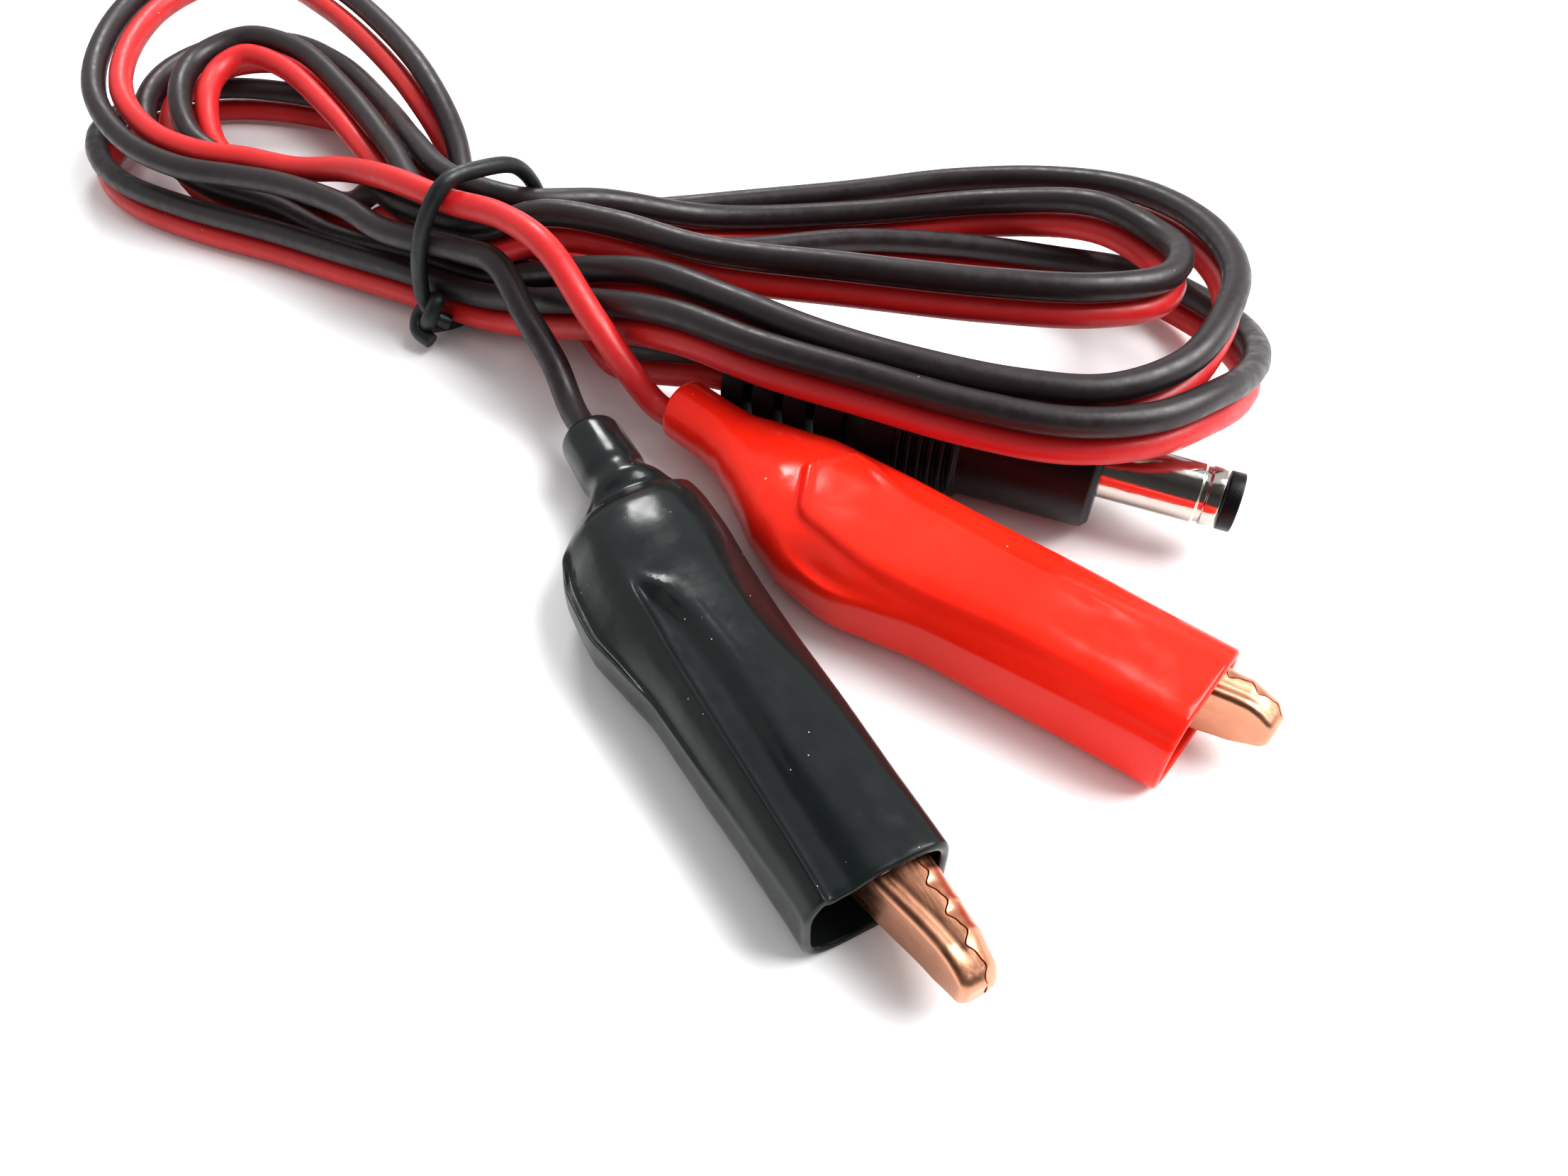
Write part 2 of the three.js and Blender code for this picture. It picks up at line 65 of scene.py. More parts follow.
def clip_place(name):
    """Where a clip lies: u runs from the cuff to the nose, v across and w up."""
    cuff = Vector((*CLIPS[name]["cuff"], BOOT_HEIGHT)) + TO_ORIGIN
    return Matrix.Translation(cuff * MM) @ Matrix.Rotation(math.radians(CLIPS[name]["yaw"]), 4, "Z")


# %% [markdown]
# A phone held close over the table gives strong perspective: the noses are large and the hank is small.
# A wide lens 79 mm above the table, looking down by 50 degrees, draws the same thing.

# %% Camera
camera_data = bpy.data.cameras.new("camera")
camera_data.sensor_width = 36
camera_data.lens = 26.04
camera_data.clip_start = 0.002
camera = bpy.data.objects.new("camera", camera_data)
camera.location = (TO_ORIGIN + Vector((0, 0, 79))) * MM
camera.rotation_euler = (math.radians(40), 0, 0)
bpy.context.scene.collection.objects.link(camera)
bpy.context.scene.camera = camera
print("camera at", tuple(round(c, 4) for c in camera.location))

# %% [markdown]
# ## The cable
# Two cores of stranded copper in soft PVC are bonded side by side. One list of points gives the middle
# line of the pair, with the lean of the black core over the red one, and each core follows it half a
# pitch away. Past the hank the cores part, and each has its own short list to its clip.

# %% The pair's route: x, y, height and lean, in millimetres and degrees
PAIR_ROUTE = [
    # out of the plug, down to the table and under the front strands to the tie
    (-5.2, 89.6, 6.4, 0),
    (-8.0, 90.7, 6.2, 0),
    (-12.2, 92.6, 4.9, 0),
    (-18, 96.2, 3.1, 0),
    (-22.5, 103.0, 3.1, 0),
    (-30.3, 107.9, 4.4, 0),
    # left, the low flat loop
    (-39.1, 112.5, 4.4, 0),
    (-42.6, 120.6, 3.2, 0),
    (-46, 133, 3.1, 0),
    (-55.5, 144.5, 3.1, 0),
    (-66.5, 149.8, 3.1, 0),
    (-78, 150.8, 3.1, 0),
    (-85.5, 146.5, 3.1, 0),
    (-88.3, 140.3, 3.1, 0),
    (-86.3, 133.6, 3.1, 0),
    (-80.8, 127.2, 3.1, 0),
    (-71.5, 121.8, 3.1, 0),
    (-60, 116.8, 3.2, 0),
    (-50.2, 111.6, 3.7, 0),
    (-41.9, 107.0, 4.4, 0),
    # right, the longest loop, over the plug and back along the table
    (-33.1, 102.4, 4.6, 0),
    (-26.9, 98.7, 6.4, 0),
    (-18.3, 93.6, 9.8, 0),
    (-10, 87.6, 12.8, 0),
    (-2, 82.0, 13.6, 0),
    (7, 77.4, 14.0, 0),
    (16, 73.5, 14.0, 0),
    (24, 71.2, 14.1, 0),
    (31, 71.8, 14.1, 0),
    (37, 75.4, 13.4, 0),
    (42.3, 81.3, 10.8, 0),
    (45.6, 87.9, 8.2, 0),
    (46.8, 95, 5.6, 0),
    (44.8, 102.6, 3.8, 0),
    (40.0, 108.4, 3.1, 0),
    (31, 111.2, 3.1, 0),
    (20, 113.8, 3.1, 0),
    (8, 114.8, 3.1, 0),
    (-5, 113.0, 3.1, 0),
    (-15, 111.0, 4.9, 0),
    (-22.6, 107.4, 9.2, 0),
    (-30.3, 107.9, 10.4, 0),
    # left, the small inner loop
    (-39.1, 112.5, 10.5, 10),
    (-45.4, 121.4, 10.4, -30),
    (-53.9, 133.5, 11.6, -55),
    (-62, 142.4, 12.8, -65),
    (-68.4, 145.4, 12.8, -70),
    (-72.4, 142.4, 12.0, -70),
    (-72.9, 136.6, 10.8, -65),
    (-70.8, 131.0, 8.0, -50),
    (-65.6, 128.0, 5.6, -30),
    (-58.2, 124.2, 3.7, -10),
    (-50, 118.9, 5.2, 0),
    (-45.2, 115.2, 9.0, 0),
    (-40.5, 109.7, 10.3, 0),
    # right, the short loop
    (-31.7, 105.3, 10.8, 0),
    (-24.6, 104.6, 12.9, 0),
    (-17.2, 101.9, 13.4, 0),
    (-7.5, 96.5, 13.9, 0),
    (6.4, 92.4, 14.7, 0),
    (19.5, 89.4, 15.1, 0),
    (29, 88.6, 15.1, 0),
    (35.6, 90.8, 14.5, 0),
    (38.8, 96.2, 13.3, 0),
    (38.4, 103.4, 11.4, 0),
    (34, 110.2, 10.4, 0),
    (24.5, 117.2, 6.6, 0),
    (8, 119.0, 4.0, 0),
    (-8.8, 117.6, 4.4, 0),
    (-20.4, 113.6, 8.8, 0),
    (-28.5, 111.3, 10.4, 0),
    # left, the middle loop
    (-37.3, 116.0, 10.4, -10),
    (-43.6, 124.2, 10.0, -30),
    (-50.0, 135.4, 8.3, -45),
    (-58.8, 146.8, 8.6, -55),
    (-66.8, 152.6, 8.6, -60),
    (-74.2, 151.8, 8.6, -60),
    (-78.6, 145.2, 8.6, -60),
    (-79.2, 138.2, 7.6, -50),
    (-77.0, 132.6, 5.4, -35),
    (-70.6, 126.6, 3.6, -10),
    (-60.2, 121.4, 3.2, 0),
    (-51.6, 115.0, 3.3, 0),
    (-40.7, 109.4, 4.4, 0),
    # right, the high outer loop
    (-31.7, 105.1, 4.5, 0),
    (-26.0, 101.6, 7.4, 0),
    (-19.8, 97.9, 10.6, 0),
    (-12.8, 94.0, 13.0, 0),
    (-5, 88.0, 14.2, 0),
    (3, 82.4, 14.6, 0),
    (11.5, 78.0, 14.9, 0),
    (20, 75.3, 14.8, 0),
    (27.6, 74.6, 14.8, 0),
    (34.6, 77.6, 15.2, 0),
    (39.6, 84.2, 15.5, 0),
    (42.8, 92.5, 14.6, 0),
    (42.6, 103.1, 12.8, 0),
    (38.6, 113.4, 10.2, 0),
    (31, 120.7, 7.4, 0),
    (20.4, 124.2, 5.2, 0),
    (8, 123.6, 4.0, 0),
    (-8.9, 121.2, 3.7, 0),
    (-18.6, 118.6, 4.0, 0),
    (-28.4, 111.5, 4.3, 0),
    # left, the high outer loop
    (-37.2, 116.1, 4.2, 0),
    (-38.0, 121.4, 5.4, -10),
    (-39.8, 128.2, 8.8, -20),
    (-44.4, 136.2, 12.0, -35),
    (-52.4, 147.6, 13.6, -45),
    (-61, 157.2, 14.6, -50),
    (-69, 163.6, 15.0, -55),
    (-77, 163.0, 15.0, -60),
    (-82.6, 155.6, 14.6, -65),
    (-84.4, 145.4, 13.4, -75),
    (-82.2, 134.8, 12.0, -85),
    (-76.4, 127.2, 10.6, -95),
    (-69.6, 123.2, 10.0, -100),
    (-62.6, 121.2, 10.0, -100),
    (-56.4, 118.6, 10.4, -95),
]
BLACK_TAIL = [
    (-48.2, 111.6, 11.0),
    (-42.6, 106.8, 11.0),
    (-33.4, 102.0, 11.8),
    (-29.0, 98.6, 12.4),
    (-25.8, 93.6, 9.9),
    (-22.8, 89.4, 7.2),
]
RED_TAIL = [
    (-48.6, 116.2, 12.6),
    (-41.4, 110.2, 14.9),
    (-34.2, 105.2, 15.3),
    (-28.0, 101.0, 16.2),
    (-22.8, 95.6, 16.0),
    (-18.6, 90.2, 12.4),
    (-15.0, 87.0, 8.0),
]


# %% [markdown]
# A centripetal Catmull-Rom spline goes through every point and doesn't loop between close ones, so the
# loops stay round where the points crowd together.


# %% Smooth lines through points
def smooth_line(points, per_span=8):
    """Points of a centripetal spline, with per_span steps between each two of the given points."""
    first = points[0] + (points[0] - points[1])
    last = points[-1] + (points[-1] - points[-2])
    padded = [first, *points, last]
    line = []
    for i in range(len(points) - 1):
        a, b, c, d = padded[i : i + 4]
        ab, bc, cd = ((q - p).length ** 0.5 for p, q in ((a, b), (b, c), (c, d)))
        start = (b - a) / ab - (c - a) / (ab + bc) + (c - b) / bc
        end = (c - b) / bc - (d - b) / (bc + cd) + (d - c) / cd
        start, end = start * bc, end * bc
        for k in range(per_span):
            t = k / per_span
            line.append(
                b * (2 * t**3 - 3 * t**2 + 1)
                + start * (t**3 - 2 * t**2 + t)
                + c * (3 * t**2 - 2 * t**3)
                + end * (t**3 - t**2)
            )
    return [*line, points[-1].copy()]


def length_of(line):
    return sum((b - a).length for a, b in zip(line, line[1:]))


# %% Each core's own line
def core_points(side, tail, name):
    middle = [Vector(p[:3]) for p in PAIR_ROUTE]
    points = []
    for i, (place, step) in enumerate(zip(middle, PAIR_ROUTE)):
        before, after = middle[max(i - 1, 0)], middle[min(i + 1, len(middle) - 1)]
        run = (after - before).normalized()
        left = Vector((-run.y, run.x, 0)).normalized()
        above = run.cross(left)
        lean = math.radians(step[3])
        offset = above * math.cos(lean) + left * math.sin(lean)
        points.append(place + offset * side * CORE_PITCH / 2)
    cuff = CLIPS[name]["cuff"]
    yaw = math.radians(CLIPS[name]["yaw"])
    reach = (-2.5, 2.0, CRIMP_START + CLIPS[name]["slide"][0])
    inside = [Vector((cuff[0] + u * math.cos(yaw), cuff[1] + u * math.sin(yaw), BOOT_HEIGHT)) for u in reach]
    return [*points, *(Vector(p) for p in tail), *inside]


core_lines = {
    "black": smooth_line(core_points(1, BLACK_TAIL, "black")),
    "red": smooth_line(core_points(-1, RED_TAIL, "red")),
}
for name, line in core_lines.items():
    print(name, "core is", round(length_of(line)), "mm long, of", len(line), "points")


# %% [markdown]
# A curve with a round bevel is the plain way to make a wire: its points stay easy to read, and the
# section stays round at every bend.


# %% Wires as bevelled curves
def wire(name, line, radius, sides=4):
    curve = bpy.data.curves.new(name, "CURVE")
    curve.dimensions = "3D"
    curve.bevel_depth = 1.0
    curve.bevel_resolution = sides
    curve.use_fill_caps = True
    spline = curve.splines.new("POLY")
    spline.points.add(len(line) - 1)
    for point, place in zip(spline.points, line):
        point.co = (*((place + TO_ORIGIN) * MM), 1)
        point.radius = radius * MM
    spline.use_smooth = True
    made = bpy.data.objects.new(name, curve)
    bpy.context.scene.collection.objects.link(made)
    return made


cores = {}
for name, line in core_lines.items():
    core = wire(f"{name}_wire", line, CORE_DIAMETER / 2)
    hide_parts(f"{name}_core")
    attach(core, "lead")
    tuple((line[0] + TO_ORIGIN) * MM)
    round(length_of(line) * MM, 3)
    cores[name] = core
print("cords:", sorted(cores))

# %% [markdown]
# ## Finishes
# Every finish is a Principled shader with a few mapped values. The small class below wraps a socket, so
# that a mask can be written as a sum: `1 - dust` adds its Math node by itself.


# %% Shader values as expressions
class Value:
    """A number inside a shader. Sums and products of it add Math nodes to its finish."""

    def __init__(self, finish, socket):
        self.finish = finish
        self.socket = socket

    def _math(self, operation, first, second=0.0):
        return self.finish.node("ShaderNodeMath", {"operation": operation}, {0: first, 1: second})

    def __add__(self, other):
        return self._math("ADD", self, other)

    def __sub__(self, other):
        return self._math("SUBTRACT", self, other)

    def __rsub__(self, other):
        return self._math("SUBTRACT", other, self)

    def __mul__(self, other):
        return self._math("MULTIPLY", self, other)

    def __gt__(self, other):
        return self._math("GREATER_THAN", self, other)

    __radd__ = __add__
    __rmul__ = __mul__


class Finish:
    """A material, its Principled shader, and the nodes that vary it."""

    def __init__(self, name, **constants):
        self.material = bpy.data.materials.new(name)
        self.material.use_nodes = True
        self.tree = self.material.node_tree
        self.shader = self.tree.nodes["Principled BSDF"]
        for key, value in constants.items():
            self.shader.inputs[key.replace("_", " ")].default_value = value
        coordinates = self.tree.nodes.new("ShaderNodeTexCoord")
        self.place = Value(self, coordinates.outputs["Object"])

    def put(self, socket, value):
        if isinstance(value, Value):
            self.tree.links.new(value.socket, socket)
        else:
            socket.default_value = value

    def node(self, kind, settings=None, inputs=None, output=0):
        """A node with its settings, then its sockets' values or links, and the output that is wanted."""
        made = self.tree.nodes.new(kind)
        for key, value in (settings or {}).items():
            if key == "stops":
                ramp = made.color_ramp.elements
                while len(ramp) < len(value):
                    ramp.new(0.5)
                for element, (position, colour) in zip(ramp, value):
                    element.position = position
                    element.color = colour
            else:
                setattr(made, key, value)
        for key, value in (inputs or {}).items():
            self.put(made.inputs[key], value)
        return Value(self, made.outputs[output])

    def noise(self, per_mm, detail=2.0, roughness=0.5, place=None):
        inputs = {"Vector": place or self.place, "Scale": per_mm / MM}
        inputs |= {"Detail": detail, "Roughness": roughness}
        return self.node("ShaderNodeTexNoise", {}, inputs, "Fac")

    def between(self, value, low, high, to_low=0.0, to_high=1.0):
        """value taken from the range low to high onto a new range, and held at its ends."""
        inputs = {"Value": value, "From Min": low, "From Max": high, "To Min": to_low, "To Max": to_high}
        return self.node("ShaderNodeMapRange", {"interpolation_type": "SMOOTHSTEP"}, inputs, "Result")

    def mix(self, amount, first, second):
        """A colour from first to second."""
        inputs = {0: amount, 6: first, 7: second}
        return self.node("ShaderNodeMix", {"data_type": "RGBA"}, inputs, 2)

    def specks(self, per_mm, size):
        """1 inside small scattered dots, as dust or pits are, and 0 elsewhere."""
        inputs = {"Vector": self.place, "Scale": per_mm / MM, "Randomness": 1.0}
        spot = self.node("ShaderNodeTexVoronoi", {"feature": "F1"}, inputs, "Distance")
        return self.between(spot, size, size * 0.6)

    def bump(self, height, distance_mm, strength=1.0):
        inputs = {"Height": height, "Distance": distance_mm * MM, "Strength": strength}
        self.put(self.shader.inputs["Normal"], self.node("ShaderNodeBump", {}, inputs))

    def vary(self, **values):
        for key, value in values.items():
            self.put(self.shader.inputs[key.replace("_", " ")], value)


# %% [markdown]
# Soft PVC that is dipped has a deep gloss with slow waves in it, and it draws dust. The black one shows
# its dust as pale specks. The red one is slightly clear, so light goes in and comes out warmer.

# %% Boot finishes
black_vinyl = Finish("black_vinyl", IOR=1.5, Specular_IOR_Level=0.34)
wear = black_vinyl.noise(0.12, 3.0)
dust = black_vinyl.specks(0.8, 0.06) * (black_vinyl.noise(0.25) > 0.52)
vinyl_colour = black_vinyl.mix(wear, (0.008, 0.011, 0.011, 1), (0.014, 0.017, 0.017, 1))
black_vinyl.vary(
    Base_Color=black_vinyl.mix(dust, vinyl_colour, (0.42, 0.42, 0.38, 1)),
    Roughness=black_vinyl.between(black_vinyl.noise(0.5, 3.0), 0.3, 0.7, 0.17, 0.27) + dust * 0.4,
)
black_vinyl.bump(black_vinyl.noise(0.18, 2.0) + black_vinyl.noise(2.2) * 0.05 + dust * 0.25, 0.12)

red_vinyl = Finish(
    "red_vinyl",
    IOR=1.5,
    Specular_IOR_Level=0.3,
    Subsurface_Weight=0.12,
    Subsurface_Scale=0.0012,
    Subsurface_Radius=(1.0, 0.25, 0.1),
)
wear = red_vinyl.noise(0.1, 3.0)
dust = red_vinyl.specks(0.35, 0.04) * (red_vinyl.noise(0.3) > 0.55)
vinyl_colour = red_vinyl.mix(wear, (0.84, 0.016, 0.006, 1), (0.92, 0.036, 0.016, 1))
red_vinyl.vary(
    Base_Color=red_vinyl.mix(dust, vinyl_colour, (0.95, 0.55, 0.25, 1)),
    Roughness=red_vinyl.between(red_vinyl.noise(0.5, 3.0), 0.3, 0.7, 0.15, 0.24),
)
red_vinyl.bump(red_vinyl.noise(0.15, 2.0) + red_vinyl.noise(2.2) * 0.05, 0.12)
print("boot finishes:", black_vinyl.material.name, red_vinyl.material.name)

# %% [markdown]
# Extruded wire insulation is duller than the boots, with a fine drag along it and some yellowish grit.

# %% Cable finishes
def insulation(name, dark, light, grit):
    finish = Finish(name, IOR=1.5)
    patches = finish.noise(0.15, 4.0, 0.6)
    specks = finish.specks(0.5, 0.05) * (finish.noise(0.4) > 0.56)
    finish.vary(
        Base_Color=finish.mix(specks, finish.mix(patches, dark, light), grit),
        Roughness=finish.between(finish.noise(0.8, 4.0), 0.3, 0.7, 0.36, 0.5),
    )
    finish.bump(finish.noise(0.35, 3.0) + finish.noise(3.5) * 0.12 + specks * 0.3, 0.06)
    return finish


black_wire = insulation(
    "black_insulation", (0.012, 0.008, 0.009, 1), (0.028, 0.019, 0.021, 1), (0.3, 0.26, 0.18, 1)
)
red_wire = insulation(
    "red_insulation", (0.44, 0.012, 0.014, 1), (0.60, 0.024, 0.026, 1), (0.75, 0.45, 0.12, 1)
)
tie_skin = insulation("tie_skin", (0.006, 0.008, 0.009, 1), (0.015, 0.017, 0.018, 1), (0.2, 0.2, 0.2, 1))
print("cable finishes: 3")

# %% [markdown]
# The jaws are pressed steel with a thin copper plating: satin, with fine scratches along the pressing,
# darker tarnish in random patches and with a few pits. The barrel is bright nickel.

# %% Metal finishes
def plated(name, dark, light, low, high, pits):
    finish = Finish(name, Metallic=1.0)
    drawn = finish.node("ShaderNodeMapping", {}, {"Vector": finish.place, "Scale": (0.15, 1.0, 1.0)})
    scratches = finish.noise(1.6, 4.0, 0.7, drawn)
    tarnish = finish.noise(0.35, 4.0, 0.6)
    pit = finish.specks(0.7, 0.07) * (finish.noise(0.5) > 0.54) * pits
    finish.vary(
        Base_Color=finish.mix(pit, finish.mix(tarnish, dark, light), (0.12, 0.06, 0.03, 1)),
        Roughness=finish.between(scratches, 0.3, 0.7, low, high) + pit * 0.3,
    )
    finish.bump(scratches * 0.5 + tarnish * 0.5 - pit, 0.03)
    return finish


copper = plated("copper_plating", (0.57, 0.255, 0.155, 1), (0.74, 0.40, 0.265, 1), 0.26, 0.4, 1.0)
nickel = plated("nickel_plating", (0.55, 0.52, 0.47, 1), (0.70, 0.67, 0.62, 1), 0.09, 0.18, 0.0)
spring_steel = plated("spring_steel", (0.38, 0.38, 0.39, 1), (0.58, 0.58, 0.60, 1), 0.25, 0.4, 0.3)
bare_copper = plated("bare_copper", (0.62, 0.28, 0.15, 1), (0.80, 0.42, 0.26, 1), 0.3, 0.45, 0.2)
tinned_brass = plated("tinned_brass", (0.50, 0.46, 0.36, 1), (0.66, 0.63, 0.53, 1), 0.2, 0.35, 0.2)
print("metal finishes: 5")

# %% [markdown]
# The plug's overmould comes from a lightly sparked mould, so it has a fine even grain and no wave.

# %% Plug plastic
plug_plastic = Finish("plug_plastic", IOR=1.5, Specular_IOR_Level=0.3)
grain = plug_plastic.noise(4.0, 3.0, 0.6)
smears = plug_plastic.noise(0.2, 3.0)
plug_plastic.vary(
    Base_Color=plug_plastic.mix(smears, (0.003, 0.0035, 0.004, 1), (0.008, 0.009, 0.010, 1)),
    Roughness=plug_plastic.between(smears, 0.3, 0.7, 0.34, 0.46),
)
plug_plastic.bump(grain, 0.03)

HIDDEN = {
    "spring_steel": ["black_pivot_pin", "red_pivot_pin", "black_spring", "red_spring"],
    "bare_copper": ["black_conductor_strands", "red_conductor_strands"],
    "tinned_brass": ["plug_centre_contact", "plug_sleeve_terminal", "plug_tip_terminal"],
    "plug_plastic": ["plug_inner_insulator"],
}
for finish, nodes in HIDDEN.items():
    for node in nodes:
        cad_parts[node].data.materials.clear()
        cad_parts[node].data.materials.append(bpy.data.materials[finish])
for name in ("black", "red"):
    cores[name].data.materials.append({"black": black_wire, "red": red_wire}[name].material)
print("finished frame nodes:", sum(len(nodes) for nodes in HIDDEN.values()))

# %% [markdown]
# ## The boots
# A boot is one dipped sleeve: a thick cuff, a neck, a bulge over the clip's thumb pads, and a flat oval
# mouth. Its section is a rounded box that changes from end to end, so it is swept here ring by ring from
# the cuff to the mouth, over the lip, and back along the inside. A sculpt would also do, but a rule keeps
# the wall even and lets the table flatten the underside. The two boots differ from the cuff to the bulge
# and share the rows from there to the mouth.

# %% Boot sections: u, half width, half height, squareness, shift across, shift up, wall
BARREL_SECTIONS = [
    (25.5, 7.6, 5.12, 2.9, -2.0, 0, 0.9),
    (30, 7.1, 5.12, 3.0, -1.6, 0, 0.9),
    (35, 6.6, 5.1, 3.1, -1.1, 0, 0.9),
    (41, 6.4, 5.05, 3.3, -0.8, 0, 0.9),
    (48, 6.1, 4.85, 3.6, -0.4, -0.12, 0.9),
    (55.5, 5.9, 4.6, 4.2, -0.05, -0.25, 0.75),
]
BOOT_SECTIONS = {
    "black": [
        (0, 3.0, 3.0, 2, 0, 0, 1.1),
        (1.4, 3.05, 3.1, 2, 0, 0, 1.1),
        (5.6, 3.15, 3.2, 2, 0, 0, 1.0),
        (6.9, 3.0, 3.05, 2, 0, 0, 0.9),
        (9.2, 3.9, 3.35, 2.1, 0.2, 0, 0.9),
        (11.4, 5.2, 3.95, 2.2, 0.0, 0, 0.9),
        (13.4, 6.3, 4.7, 2.3, -0.5, 0, 0.9),
        (16, 7.2, 5.05, 2.5, -1.3, 0, 0.9),
        (20.5, 7.7, 5.1, 2.7, -1.8, 0, 0.9),
        *BARREL_SECTIONS,
    ],
    "red": [
        (0, 3.1, 3.1, 2, 1.2, 0, 1.2),
        (4.6, 3.15, 3.1, 2, 0.9, 0, 1.0),
        (7, 3.4, 3.05, 2.1, 0.6, 0, 0.9),
        (10, 4.4, 3.45, 2.2, 0.2, 0, 0.9),
        (13.4, 5.6, 4.2, 2.3, -0.5, 0, 0.9),
        (17, 6.8, 4.8, 2.5, -1.2, 0, 0.9),
        (21, 7.4, 5.0, 2.7, -1.8, 0, 0.9),
        *BARREL_SECTIONS,
    ],
}


def smoothstep(low, high, x):
    t = min(max((x - low) / (high - low), 0.0), 1.0)
    return t * t * (3 - 2 * t)


def along(table, u):
    """A row of a table at u, eased between the rows on its two sides."""
    u = min(max(u, table[0][0]), table[-1][0])
    for i in range(len(table) - 1):
        if table[i][0] <= u <= table[i + 1][0]:
            break
    rows = [table[max(i - 1, 0)], table[i], table[i + 1], table[min(i + 2, len(table) - 1)]]
    t = (u - rows[1][0]) / (rows[2][0] - rows[1][0])
    values = []
    for k in range(1, len(table[0])):
        spans = [rows[j + 1][0] - rows[j][0] or 1.0 for j in range(3)]
        slopes = [(rows[j + 1][k] - rows[j][k]) / spans[j] for j in range(3)]
        first = 0.0 if slopes[0] * slopes[1] <= 0 else min(slopes[0], slopes[1], key=abs)
        last = 0.0 if slopes[1] * slopes[2] <= 0 else min(slopes[1], slopes[2], key=abs)
        rise = rows[2][k] - rows[1][k]
        value = rows[1][k] + rise * (3 * t**2 - 2 * t**3)
        value += (first * (t**3 - 2 * t**2 + t) + last * (t**3 - t**2)) * spans[1]
        values.append(value)
    return values


# %% [markdown]
# The vinyl shows the metal under it. On the black boot two creases run from the bulge to the mouth with a
# sunken strip between them, and the bulge has a steep front. On the red boot the thumb pad stands out as a
# plateau with a raised front edge and a straight lower edge. Both are heights added to the upper face, as
# functions of u and v.


# %% Reliefs on the upper face
def ridge(distance, width):
    return math.exp(-((distance / width) ** 2))


def black_relief(u, v):
    upper = along([(24, -4.4), (27, -2.9), (31, -1.8), (36, -1.3), (44, -1.2), (55.5, -0.8)], u)[0]
    lower = along([(24, -5.0), (32, -5.0), (40, -4.8), (55.5, -4.3)], u)[0]
    grown = smoothstep(24.0, 27.5, u)
    fading = 1 - 0.25 * smoothstep(40.0, 55.0, u)
    strip = smoothstep(lower - 0.1, lower + 0.45, v) * (1 - smoothstep(upper - 1.5, upper + 0.2, v))
    crease = ridge(v - lower, 0.5) + 0.9 * ridge(v - upper - 0.3, 0.45)
    dome = 0.45 * ridge(u - 19.0, 5.2) * ridge(v + 1.2, 4.6)
    front = smoothstep(14.4, 12.6, u + 0.035 * (v + 1.4) ** 2) * smoothstep(8.0, 11.0, u)
    left = smoothstep(lower - 0.1, -8.6, v) * 1.9 * smoothstep(12.0, 18.0, u)
    waist = 0.6 * smoothstep(1.6, 4.4, v) * ridge(u - 30.5, 6.5)
    return grown * fading * (0.3 * crease - 0.75 * strip) + dome - 1.15 * front - left - waist


def red_relief(u, v):
    front = 17.6 + max(0.0, v + 1.5) * 0.62 + max(0.0, -1.5 - v) * 0.6
    right = along([(16, 3.2), (21, 2.4), (28, 0.6), (38, 0.6), (46, 1.6), (55.5, 2.6)], u)[0]
    lower = along([(16, -4.8), (22, -6.4), (28, -7.2), (40, -6.0), (48, -5.1), (55.5, -4.3)], u)[0]
    grown = smoothstep(front - 0.35, front + 0.35, u) * (1 - 0.7 * smoothstep(40.0, 54.0, u))
    inside = smoothstep(lower - 0.4, lower + 0.3, v) * (1 - smoothstep(right - 0.5, right + 1.4, v))
    rim = ridge(u - front - 0.3, 0.4) * smoothstep(-6.4, -5.2, v) * (1 - smoothstep(1.6, 2.8, v))
    band = ridge(v - right + 0.4, 0.6) * smoothstep(19.0, 22.0, u) * (1 - smoothstep(44.0, 50.0, u))
    slope = smoothstep(lower, lower - 2.2, v) * 1.1 * smoothstep(18.0, 25.0, u)
    dip = 0.25 * ridge(u - 44, 4.0) * ridge(v + 1.2, 2.2)
    return 0.75 * grown * inside + 0.28 * rim + 0.16 * band - slope - dip


RELIEFS = {"black": black_relief, "red": red_relief}


# %% [markdown]
# The inside of the cuff grips the core. The black cuff is pushed a little along its core and the red one
# is pulled back, so the rings near a cuff are moved along u, and the shift fades out over the bulge.

# %% A boot, ring by ring
BOOT_AROUND = 192


CUFF_SHIFT = {"black": 2.2, "red": -0.3}


def boot_ring(name, u, inset):
    half_v, half_w, power, shift_v, shift_w, wall = along(BOOT_SECTIONS[name], u)
    placed = u + CUFF_SHIFT[name] * (1 - smoothstep(5.0, 27.0, u))
    ring = []
    for i in range(BOOT_AROUND):
        turn = 2 * math.pi * i / BOOT_AROUND
        c, s = math.cos(turn), math.sin(turn)
        v = shift_v + math.copysign(abs(c) ** (2 / power), c) * (half_v - inset)
        w = shift_w + math.copysign(abs(s) ** (2 / power), s) * (half_w - inset)
        if s > 0:
            w += RELIEFS[name](u, v) * smoothstep(0.15, 0.6, s) * (1 - 0.5 * inset) * smoothstep(8, 11, u)
        floor = inset - BOOT_HEIGHT
        over = w - floor
        ring.append(Vector((placed, v, floor + 0.5 * (over + math.hypot(over, 0.12)))) * MM)
    return ring


